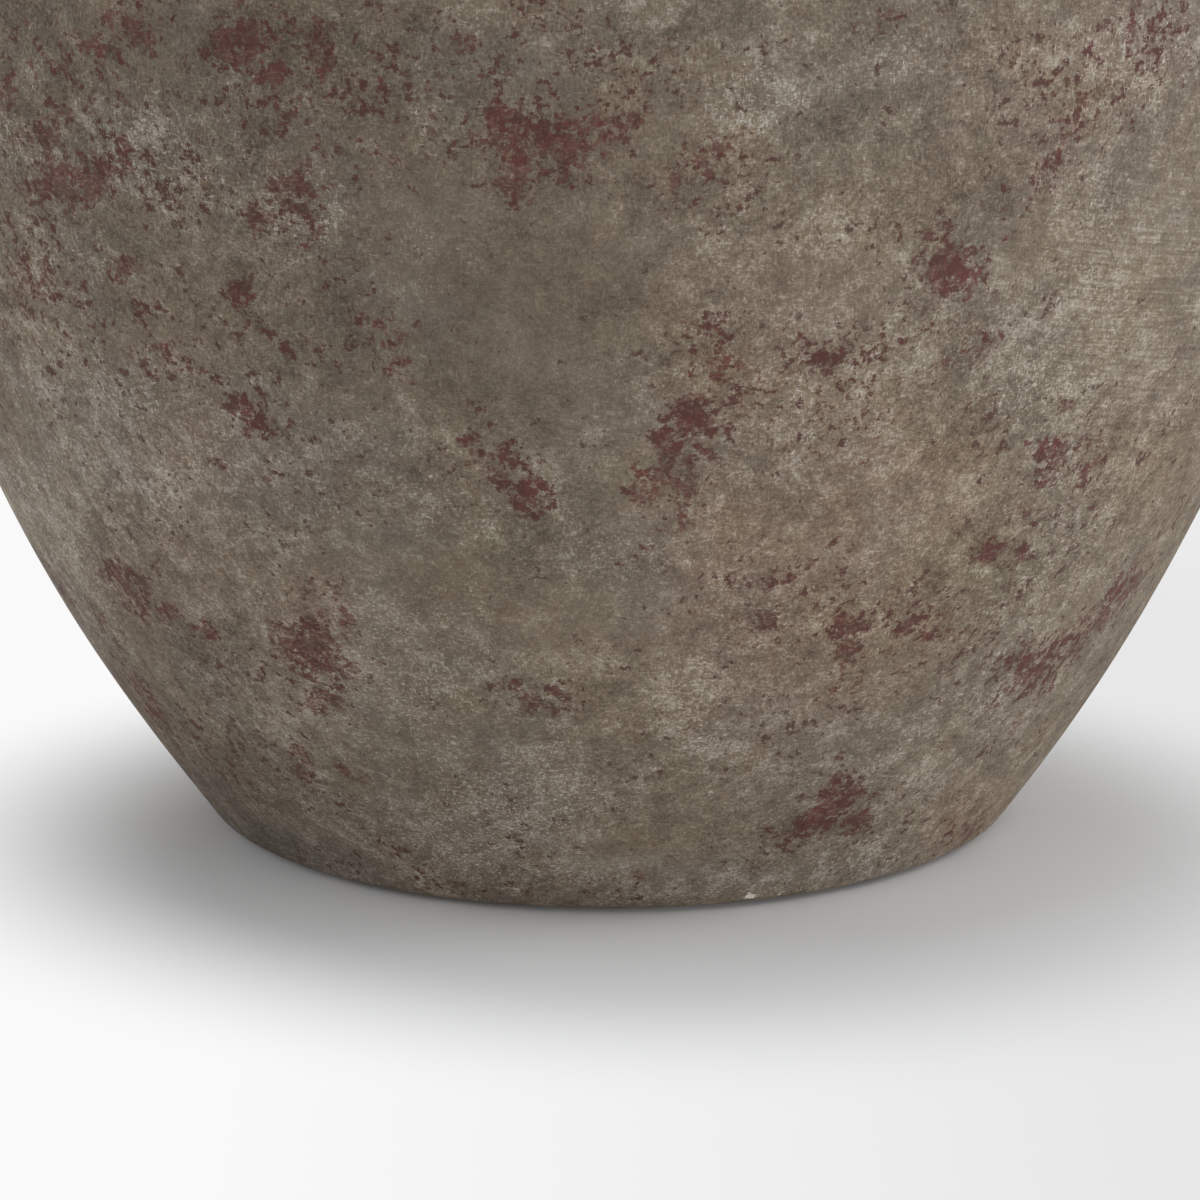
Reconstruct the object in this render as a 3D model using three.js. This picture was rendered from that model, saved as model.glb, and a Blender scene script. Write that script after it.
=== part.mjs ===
// A floor vase in the form of an ancient storage jar: a narrow foot, a wall that swells to a wide belly,
// a round shoulder drawn in to a short neck, and a rolled rim. A jar of this size is thrown in sections.
// Each section's rim is cut level and grooved, and the next section, with a matching tongue, is set on it
// with slip before the whole is finished and fired. Millimetres, +Z up, origin on the floor at the axis.
import * as THREE from "three";

// What stands between the clay and the floor: thin self-adhesive felt dots
const padRadius = 10;
const padThickness = 1;
const padGlue = 0.3;
const padCount = 4;
const padCorners = 24;

// The outer line of the wall
const footRadius = 131.5; // where the wall's line would meet the foot's underside
const bellyRadius = 250;
const bellyHeight = 340;
const lowerFullness = 2.13; // 2 is a parabola, and more keeps the lower wall straighter
const shoulderRise = 212; // from the belly to the narrowest part of the neck
const shoulderSquareness = 2.3;
const neckSweep = 1.3; // how early the shoulder starts to sweep up into the neck
const neckRadius = 87;
const collarRise = 22; // from the narrowest part of the neck to the seam under the rim
const collarFlare = 7; // how far the neck opens again on the way
const rimRise = 28; // from that seam to the top
const rimRoll = 12; // radius of the rolled lip
const rimOverhang = 15; // how far the roll stands out past the neck below it
const rimCrease = -115; // degrees round the roll, from its outermost point, where it meets the neck

// Wall, floor and foot
const wallAtFoot = 15;
const wallAtNeck = 10;
const floorThickness = 17;
const footEdge = 8; // radius of the rubbed edge round the foot
const footRingWidth = 30;
const footRecess = 3;
const footRecessSlope = 6;
const heelFillet = 14; // clay smoothed by thumb into the corner between floor and wall
const heelClearance = 1; // least height from the fillet to the next row of facets

// How much wall the potter throws at a time
const footSectionHeight = 130;
const lowerSectionHeight = 126;
const bellySectionHeight = 126;

// The tongue and groove that every seam has
const slipGap = 0.3; // thickness of the slip between two sections
const grooveDepth = 3.5;
const seamLip = 0.22; // share of the wall's width left flat on each side of the groove

// How finely the curves are cut into facets
const segments = 52;
const wallRows = 5; // in each section of the wall's gentle curve
const shoulderRows = 11;
const collarRows = 3;
const rollSteps = 9;
const edgeSteps = 3;
const filletSteps = 4;

const footHeight = padThickness + padGlue;
const floorHeight = footHeight + floorThickness;
const lowerSeamHeight = floorHeight + footSectionHeight;
const bellySeamHeight = lowerSeamHeight + lowerSectionHeight;
const shoulderSeamHeight = bellySeamHeight + bellySectionHeight;
const neckHeight = bellyHeight + shoulderRise;
const rimSeamHeight = neckHeight + collarRise;

// Radius of the outside at a height: a power curve up to the belly, then an S that is upright both at
// the belly and at the neck, then the neck's flare.
function outerRadius(height) {
  if (height <= bellyHeight) {
    const drop = (bellyHeight - height) / (bellyHeight - footHeight);
    return bellyRadius - (bellyRadius - footRadius) * drop ** lowerFullness;
  }
  if (height <= neckHeight) {
    const climb = (height - bellyHeight) / (neckHeight - bellyHeight);
    const left = (1 - climb ** shoulderSquareness) ** neckSweep;
    return neckRadius + (bellyRadius - neckRadius) * left;
  }
  const opened = (height - neckHeight) / (rimSeamHeight - neckHeight);
  return neckRadius + collarFlare * opened ** 2;
}

// Change of radius for each millimetre of height
function wallSlope(height) {
  const step = 0.01;
  const below = Math.max(height - step, footHeight);
  const above = Math.min(height + step, rimSeamHeight);
  return (outerRadius(above) - outerRadius(below)) / (above - below);
}

// The wall thins evenly from foot to neck. Its thickness is square to the wall, so it is wider when
// measured level.
function wallWidth(height) {
  const share = Math.min((height - footHeight) / (neckHeight - footHeight), 1);
  const thickness = THREE.MathUtils.lerp(wallAtFoot, wallAtNeck, share);
  return thickness * Math.hypot(1, wallSlope(height));
}

const innerRadius = (height) => outerRadius(height) - wallWidth(height);

// Evenly spaced heights from one to another
function evenRows(from, to, count) {
  return Array.from({ length: count + 1 }, (_, i) => THREE.MathUtils.lerp(from, to, i / count));
}

// Heights that close up towards the top, where the shoulder turns into the neck
function closingRows(from, to, count) {
  return evenRows(0, Math.PI / 2, count).map((turn) => from + (to - from) * Math.sin(turn));
}

const point = (radius, height) => new THREE.Vector2(radius, height);

// The groove across a section's level rim, from the outside inwards. Lifted by the slip's thickness,
// the same line is the tongue of the section above.
function seamLine(height, lift = 0) {
  const outside = outerRadius(height);
  const width = wallWidth(height);
  return [
    point(outside, height + lift),
    point(outside - seamLip * width, height + lift),
    point(outside - width / 2, height + lift - grooveDepth),
    point(outside - (1 - seamLip) * width, height + lift),
    point(outside - width, height + lift),
  ];
}

const outerLine = (heights) => heights.slice(1, -1).map((h) => point(outerRadius(h), h));
const innerLine = (heights) => heights.slice(1, -1).map((h) => point(innerRadius(h), h));

// Turns a half-section about the vertical axis. The line runs up the outside and down the inside.
function turned(line) {
  return new THREE.LatheGeometry(line, segments).rotateX(Math.PI / 2);
}

const closed = (line) => [...line, line[0].clone()];

// A ring of wall between two seams: tongue below, groove above
function thrownSection(heights) {
  const low = heights[0];
  const high = heights.at(-1);
  return turned(closed([
    ...seamLine(low, slipGap).reverse(),
    ...outerLine(heights),
    ...seamLine(high),
    ...innerLine(heights).reverse(),
  ]));
}

// The lowest ring stands on the floor slab, with a fillet of clay inside its heel
function footSection() {
  const heights = evenRows(floorHeight, lowerSeamHeight, wallRows);
  const seat = floorHeight + slipGap;
  const inside = innerRadius(floorHeight);
  const filletTop = floorHeight + heelFillet;
  const fillet = new THREE.QuadraticBezierCurve(
    point(innerRadius(filletTop), filletTop),
    point(inside, seat),
    point(inside - heelFillet, seat),
  ).getPoints(filletSteps);
  const aboveFillet = heights.filter((h) => h > filletTop + heelClearance);
  return turned(closed([
    ...seamLine(floorHeight, slipGap).slice(0, -1).reverse(),
    ...outerLine(heights),
    ...seamLine(lowerSeamHeight),
    ...aboveFillet.slice(0, -1).reverse().map((h) => point(innerRadius(h), h)),
    ...fillet,
  ]));
}

// The rubbed edge of the foot: an arc that touches both the underside and the wall's line
function footEdgeArc() {
  const tilt = Math.atan(wallSlope(footHeight)); // the wall faces down by this much
  const meets = footHeight + footEdge * (1 - Math.sin(tilt));
  const centreRadius = outerRadius(meets) - footEdge * Math.cos(tilt);
  return new THREE.Path()
    .absarc(centreRadius, footHeight + footEdge, footEdge, -Math.PI / 2, -tilt)
    .getPoints(edgeSteps);
}

// The floor: a slab with the groove for the first ring on top, and a foot ring turned underneath
function floorSlab() {
  const edge = footEdgeArc();
  const ringInside = footRadius - footRingWidth;
  const seam = seamLine(floorHeight);
  return turned([
    point(0, footHeight + footRecess),
    point(ringInside - footRecessSlope, footHeight + footRecess),
    point(ringInside, footHeight),
    ...edge,
    ...seam.slice(0, -1),
    point(0, floorHeight),
  ]);
}

// The rim: a thick coil set on the neck and rolled outwards
function rolledRim() {
  const centreRadius = neckRadius + collarFlare + rimOverhang - rimRoll;
  const centreHeight = rimSeamHeight + rimRise - rimRoll;
  const crease = THREE.MathUtils.degToRad(rimCrease);
  const roll = new THREE.Path()
    .absarc(centreRadius, centreHeight, rimRoll, crease, Math.PI)
    .getPoints(rollSteps);
  return turned(closed([
    ...seamLine(rimSeamHeight, slipGap).reverse(),
    ...roll,
  ]));
}

const colours = {
  antiqued_clay: { color: 0x6f6457, roughness: 0.9, metalness: 0 },
  felt: { color: 0x3a3431, roughness: 1, metalness: 0 },
};

function piece(name, geometry, finish) {
  const mesh = new THREE.Mesh(geometry, new THREE.MeshStandardMaterial(colours[finish]));
  mesh.name = name;
  return mesh;
}

// Felt dots stuck round the middle of the foot ring
function feltPads() {
  const edge = footEdgeArc();
  const contactRadius = edge[0].x;
  const ringMiddle = (contactRadius + footRadius - footRingWidth) / 2;
  return Array.from({ length: padCount }, (_, i) => {
    const angle = ((i + 0.5) / padCount) * Math.PI * 2;
    const disc = new THREE.CylinderGeometry(padRadius, padRadius, padThickness, padCorners);
    const pad = piece(`felt_pad_${i + 1}`, disc.rotateX(Math.PI / 2), "felt");
    pad.position.set(ringMiddle * Math.cos(angle), ringMiddle * Math.sin(angle), padThickness / 2);
    return pad;
  });
}

const lowerRows = evenRows(lowerSeamHeight, bellySeamHeight, wallRows);
const bellyRows = evenRows(bellySeamHeight, shoulderSeamHeight, wallRows);
const shoulderHeights = closingRows(shoulderSeamHeight, neckHeight, shoulderRows);
const collarHeights = evenRows(neckHeight, rimSeamHeight, collarRows);

const vase = new THREE.Group();
vase.add(
  piece("floor_slab", floorSlab(), "antiqued_clay"),
  piece("foot_section", footSection(), "antiqued_clay"),
  piece("lower_section", thrownSection(lowerRows), "antiqued_clay"),
  piece("belly_section", thrownSection(bellyRows), "antiqued_clay"),
  piece("shoulder_section", thrownSection(shoulderHeights), "antiqued_clay"),
  piece("neck_collar", thrownSection(collarHeights), "antiqued_clay"),
  piece("rolled_rim", rolledRim(), "antiqued_clay"),
  ...feltPads(),
);

export default vase;
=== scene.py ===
import math

import bpy
import numpy as np
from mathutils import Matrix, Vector


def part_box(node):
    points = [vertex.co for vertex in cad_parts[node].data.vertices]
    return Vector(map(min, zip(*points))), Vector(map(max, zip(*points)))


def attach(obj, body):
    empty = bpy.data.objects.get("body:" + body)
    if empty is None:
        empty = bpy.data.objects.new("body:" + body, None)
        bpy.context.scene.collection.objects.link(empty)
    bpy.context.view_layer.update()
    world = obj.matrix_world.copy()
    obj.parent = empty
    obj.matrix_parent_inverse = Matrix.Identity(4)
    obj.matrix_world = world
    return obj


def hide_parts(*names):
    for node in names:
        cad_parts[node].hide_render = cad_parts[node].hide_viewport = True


# The looks of a large jar-shaped floor vase in weathered clay. Metres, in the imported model's frame.
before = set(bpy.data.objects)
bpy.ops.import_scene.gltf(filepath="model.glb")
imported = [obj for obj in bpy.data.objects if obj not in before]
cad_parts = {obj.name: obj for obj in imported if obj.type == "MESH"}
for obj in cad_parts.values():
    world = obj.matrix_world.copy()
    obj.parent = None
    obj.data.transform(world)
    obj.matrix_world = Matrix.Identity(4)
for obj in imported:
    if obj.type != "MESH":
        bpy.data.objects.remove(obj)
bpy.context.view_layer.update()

# Camera: level with the photograph's, a long lens fifteen degrees above the floor, close on the lower
# half of the vase. Its focal length is given in the photograph's pixels, so that a place on the vase
# can be found from a pixel.
PHOTO_SIDE_PX = 1200
FOCAL_PX = 7524.5
CAMERA_DISTANCE = 2.5
CAMERA_ELEVATION = math.radians(15)
AIM = Vector((-0.0033, 0, 0.0682))
SENSOR_MM = 36

camera_forward = Vector((0, math.cos(CAMERA_ELEVATION), -math.sin(CAMERA_ELEVATION)))
camera_up = Vector((0, math.sin(CAMERA_ELEVATION), math.cos(CAMERA_ELEVATION)))
camera_place = AIM - camera_forward * CAMERA_DISTANCE

camera_data = bpy.data.cameras.new("camera")
camera_data.sensor_width = SENSOR_MM
camera_data.lens = FOCAL_PX / PHOTO_SIDE_PX * SENSOR_MM
camera = bpy.data.objects.new("camera", camera_data)
camera.location = camera_place
camera.rotation_euler = camera_forward.to_track_quat("-Z", "Y").to_euler()
bpy.context.scene.collection.objects.link(camera)
bpy.context.scene.camera = camera


def photo_pixels(points):
    """Where points of an (n, 3) array fall in the photograph, from its top left corner."""
    away = points - np.array(camera_place)
    depth = away @ np.array(camera_forward)
    across = PHOTO_SIDE_PX / 2 + FOCAL_PX * away[:, 0] / depth
    down = PHOTO_SIDE_PX / 2 - FOCAL_PX * (away @ np.array(camera_up)) / depth
    return across, down


# Felt dots: four thin self-adhesive discs of pressed felt under the foot. They are cut with a punch,
# which rounds their edges a little, and their colour is a mixed dark brown.
FELT_BROWN = (0.042, 0.034, 0.030)
FELT_PALE_HAIR = (0.115, 0.098, 0.085)
FELT_HAIR_WIDTH = 0.0004
FELT_EDGE_ROUND = 0.0003
FELT_CORNERS = 72
SHARP_CORNER = math.radians(40)
ON_AXIS = 1e-7  # a radius below this is a point on the axis

FLOAT = "NodeSocketFloat"
VECTOR = "NodeSocketVector"


def add_mesh(name, points, faces, material):
    """A smooth-shaded object from points and faces, with its sharp corners kept."""
    mesh = bpy.data.meshes.new(name)
    mesh.from_pydata([tuple(p) for p in points], [], faces)
    mesh.materials.append(material)
    mesh.shade_smooth()
    mesh.set_sharp_from_angle(angle=SHARP_CORNER)
    mesh.update()
    piece = bpy.data.objects.new(name, mesh)
    bpy.context.scene.collection.objects.link(piece)
    return piece


def turned(line, corners, closed, shape=None):
    """Points and faces of a (radius, height) line turned about the upright axis. A line that isn't
    closed starts and ends on the axis. shape(angles, radius, height) may move each ring."""
    turn = np.arange(corners) / corners * 2 * math.pi
    points = []
    rings = []
    for radius, height in line:
        if radius < ON_AXIS:
            rings.append([len(points)] * corners)
            points.append((0, 0, height))
            continue
        x, y = shape(turn, radius, height) if shape else (radius * np.cos(turn), radius * np.sin(turn))
        rings.append(list(range(len(points), len(points) + corners)))
        points.extend(zip(x, y, [height] * corners))
    pairs = list(zip(rings, rings[1:]))
    if closed:
        pairs.append((rings[-1], rings[0]))
    faces = []
    for low, high in pairs:
        for a in range(corners):
            b = (a + 1) % corners
            corner_ids = [low[a], low[b], high[b], high[a]]
            faces.append(list(dict.fromkeys(corner_ids)))
    return np.array(points, dtype=float), faces


def new_material(name):
    """A new material, its node tree and its Principled shader."""
    material = bpy.data.materials.new(name)
    material.use_nodes = True
    tree = material.node_tree
    shader = next(n for n in tree.nodes if n.type == "BSDF_PRINCIPLED")
    return material, tree, shader


def put(tree, kind, settings=None, **values):
    """A node of a kind. settings are its properties, and values go to its inputs: a socket of
    another node is linked, anything else is set. An underscore in an input's name is a space, and
    no_1 is the input with that number."""
    node = tree.nodes.new(kind)
    for key, value in (settings or {}).items():
        setattr(node, key, value)
    for key, value in values.items():
        name = key.replace("_", " ")
        socket = node.inputs[int(name[3:])] if name.startswith("no ") else node.inputs[name]
        if isinstance(value, bpy.types.NodeSocket):
            tree.links.new(value, socket)
        elif isinstance(value, tuple) and len(value) == 3 and socket.type == "RGBA":
            socket.default_value = (*value, 1)
        else:
            socket.default_value = value
    return node


def maths(tree, operation, *numbers):
    """The result of a Math node."""
    values = {f"no_{i}": number for i, number in enumerate(numbers)}
    return put(tree, "ShaderNodeMath", {"operation": operation}, **values).outputs["Value"]


def vector_maths(tree, operation, *vectors, **values):
    """The result of a Vector Math node."""
    values.update({f"no_{i}": vector for i, vector in enumerate(vectors)})
    return put(tree, "ShaderNodeVectorMath", {"operation": operation}, **values).outputs["Vector"]


def mixed(tree, amount, below, above, blend="MIX"):
    """A colour mix: above over below, by an amount."""
    node = put(tree, "ShaderNodeMix", {"data_type": "RGBA", "blend_type": blend},
               Factor=amount, no_6=below, no_7=above)
    return node.outputs[2]


def group_with(name, inputs, outputs):
    """A shader node group with named sockets, and its inside's input and output nodes."""
    tree = bpy.data.node_groups.new(name, "ShaderNodeTree")
    for direction, sockets in (("INPUT", inputs), ("OUTPUT", outputs)):
        for label, kind in sockets:
            tree.interface.new_socket(name=label, in_out=direction, socket_type=kind)
    return tree, tree.nodes.new("NodeGroupInput"), tree.nodes.new("NodeGroupOutput")


def place_group(tree, group, **values):
    """A group placed in a material: its one result."""
    return put(tree, "ShaderNodeGroup", {"node_tree": group}, **values).outputs[0]


def make_fibre_group():
    """Short fibres or brush marks: noise drawn out along one direction, bent a little by a second
    noise, and 0.5 on average. Stretch is how many times longer than wide the marks are."""
    tree, given, result = group_with(
        "fibres",
        [("Vector", VECTOR), ("Width", FLOAT), ("Stretch", VECTOR), ("Bend", FLOAT)],
        [("Fibres", FLOAT)],
    )
    given = given.outputs
    bend_noise = put(tree, "ShaderNodeTexNoise", Vector=given["Vector"], Scale=45.0, Detail=2.0)
    centred = vector_maths(tree, "SUBTRACT", bend_noise.outputs["Color"], (0.5, 0.5, 0.5))
    bent = vector_maths(tree, "SCALE", centred, Scale=given["Bend"])
    moved = vector_maths(tree, "ADD", given["Vector"], bent)
    drawn = vector_maths(tree, "DIVIDE", moved, given["Stretch"])
    scale = maths(tree, "DIVIDE", 1.0, given["Width"])
    noise = put(tree, "ShaderNodeTexNoise", Vector=drawn, Scale=scale, Detail=3.0, Roughness=0.6)
    tree.links.new(noise.outputs["Fac"], result.inputs["Fibres"])
    return tree


fibres = make_fibre_group()


def make_felt():
    """Pressed felt: short hairs of two browns, which also stand up from the surface."""
    material, tree, shader = new_material("pressed_felt")
    place = put(tree, "ShaderNodeTexCoord").outputs["Object"]
    hair = place_group(tree, fibres, Vector=place, Width=FELT_HAIR_WIDTH, Stretch=(3.0, 1.0, 1.0),
                       Bend=0.004)
    colour = mixed(tree, hair, FELT_BROWN, FELT_PALE_HAIR)
    tree.links.new(colour, shader.inputs["Base Color"])
    shader.inputs["Roughness"].default_value = 1.0
    nap = put(tree, "ShaderNodeBump", Strength=0.5, Distance=0.0003, Height=hair)
    tree.links.new(nap.outputs["Normal"], shader.inputs["Normal"])
    return material


felt = make_felt()

for pad_node in sorted(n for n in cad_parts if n.startswith("felt_pad")):
    low, high = (Vector(corner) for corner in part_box(pad_node))
    pad_radius = (high.x - low.x) / 2
    middle = (low + high) / 2
    rounding = [math.radians(a) for a in (-90, -45, 0)]
    underside = [(pad_radius - FELT_EDGE_ROUND * (1 - math.cos(a)),
                  low.z + FELT_EDGE_ROUND * (1 + math.sin(a))) for a in rounding]
    top = [(r, low.z + high.z - z) for r, z in reversed(underside)]
    underside = [(0, low.z), (pad_radius / 2, low.z), *underside]
    top = [*top, (pad_radius / 2, high.z), (0, high.z)]
    disc, disc_faces = turned(underside + top, FELT_CORNERS, closed=False)
    disc += np.array((middle.x, middle.y, 0))
    pad = add_mesh("punched_" + pad_node, disc, disc_faces, felt)
    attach(pad, "root")
    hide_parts(pad_node)

# Base slab: the turned floor of the vase, with a foot ring left standing round a shallow hollow and
# the ring's edge rubbed round. It holds the outline and the clay finish that the whole jar shares.
FOOT_RADIUS = 0.1315
BELLY_RADIUS = 0.250
BELLY_HEIGHT = 0.340
LOWER_FULLNESS = 2.13
SHOULDER_RISE = 0.212
SHOULDER_SQUARENESS = 2.3
NECK_SWEEP = 1.3
NECK_RADIUS = 0.087
COLLAR_FLARE = 0.007
WALL_AT_FOOT = 0.015
WALL_AT_NECK = 0.010
FOOT_EDGE = 0.008
FOOT_EDGE_STEPS = 6
FOOT_RING_WIDTH = 0.030
FOOT_RECESS = 0.003
FOOT_RECESS_SLOPE = 0.006
GROOVE_DEPTH = 0.0035
SEAM_LIP = 0.22
LEAN = -0.0018  # the jar's axis drifts this far to the photograph's left
LEAN_RISE = 0.110  # over this much of its height
CORNERS = 360
OUTSIDE_SPACING = 0.003
UNDERSIDE_SPACING = 0.012
SLAB_TOP_SHARES = (0.8, 0.6, 0.4, 0.2, 0)  # rings on the slab's top, as shares of its groove's inside

foot_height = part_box("floor_slab")[0][2]
slab_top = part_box("floor_slab")[1][2]
neck_height = BELLY_HEIGHT + SHOULDER_RISE
collar_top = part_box("neck_collar")[1][2]
rim_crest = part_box("rolled_rim")[1][2]


def outer_radius(height):
    """Radius of the jar's outside at a height, from the foot to the seam under the rim."""
    if height <= BELLY_HEIGHT:
        drop = (BELLY_HEIGHT - height) / (BELLY_HEIGHT - foot_height)
        return BELLY_RADIUS - (BELLY_RADIUS - FOOT_RADIUS) * drop ** LOWER_FULLNESS
    if height <= neck_height:
        climb = (height - BELLY_HEIGHT) / SHOULDER_RISE
        left = (1 - climb ** SHOULDER_SQUARENESS) ** NECK_SWEEP
        return NECK_RADIUS + (BELLY_RADIUS - NECK_RADIUS) * left
    opened = (height - neck_height) / (collar_top - neck_height)
    return NECK_RADIUS + COLLAR_FLARE * opened ** 2


def wall_slope(height):
    """Change of the outside's radius for each metre of height."""
    step = 1e-5
    low = max(height - step, foot_height)
    high = min(height + step, collar_top)
    return (outer_radius(high) - outer_radius(low)) / (high - low)


def wall_width(height):
    """The wall's level width. Square to itself it thins evenly from the foot to the neck."""
    share = min((height - foot_height) / (neck_height - foot_height), 1)
    thickness = WALL_AT_FOOT + (WALL_AT_NECK - WALL_AT_FOOT) * share
    return thickness * math.hypot(1, wall_slope(height))


def inner_radius(height):
    return outer_radius(height) - wall_width(height)


def seam_line(height, lift=0.0):
    """Across a section's rim, from the outside inwards: a groove, or with a lift the tongue above it.
    Both edges stay at the seam's height, because the slip is wiped flush there."""
    outside = outer_radius(height)
    width = wall_width(height)
    return [
        (outside, height),
        (outside - SEAM_LIP * width, height + lift),
        (outside - width / 2, height + lift - GROOVE_DEPTH),
        (outside - (1 - SEAM_LIP) * width, height + lift),
        (outside - width, height),
    ]


def spread(low, high, spacing):
    """Evenly spaced values between two, without the ends."""
    count = max(int(math.ceil((high - low) / spacing)), 1)
    return [low + (high - low) * i / count for i in range(1, count)]


# The hand-thrown unevenness of the wall: broad waves, each about a fifth of a millimetre high
WAVE_COUNT = 9
WAVE_HEIGHT = 0.00022
MOST_WAVES_ROUND = 6
WAVE_RATES = (12, 45)  # radians for each metre up the wall
WAVES_START = 0.030  # they grow from nothing over this height above the foot
wave_draws = np.random.default_rng(7)


def drawn_wave():
    """A random wave: how often it goes round, where it starts, and its rate and start up the wall."""
    times_round = int(wave_draws.integers(1, MOST_WAVES_ROUND + 1))
    phase = wave_draws.uniform(0, 2 * math.pi)
    rate = wave_draws.uniform(*WAVE_RATES)
    start = wave_draws.uniform(0, 2 * math.pi)
    return times_round, phase, rate, start


waves = [drawn_wave() for _ in range(WAVE_COUNT)]


def lean(height):
    """How far the jar's axis has drifted sideways at a height."""
    t = min(max(height / LEAN_RISE, 0), 1)
    return LEAN * t * t * (3 - 2 * t)


def hand_thrown(turn, radius, height):
    """A ring's x and y with the lean and the broad waves added, none of them at the foot."""
    settled = min(max((height - foot_height) / WAVES_START, 0), 1)
    uneven = sum(np.sin(times_round * turn + phase) * math.sin(rate * height + start)
                 for times_round, phase, rate, start in waves)
    moved = radius + WAVE_HEIGHT * settled * uneven
    return moved * np.cos(turn) + lean(height), moved * np.sin(turn)


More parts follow.
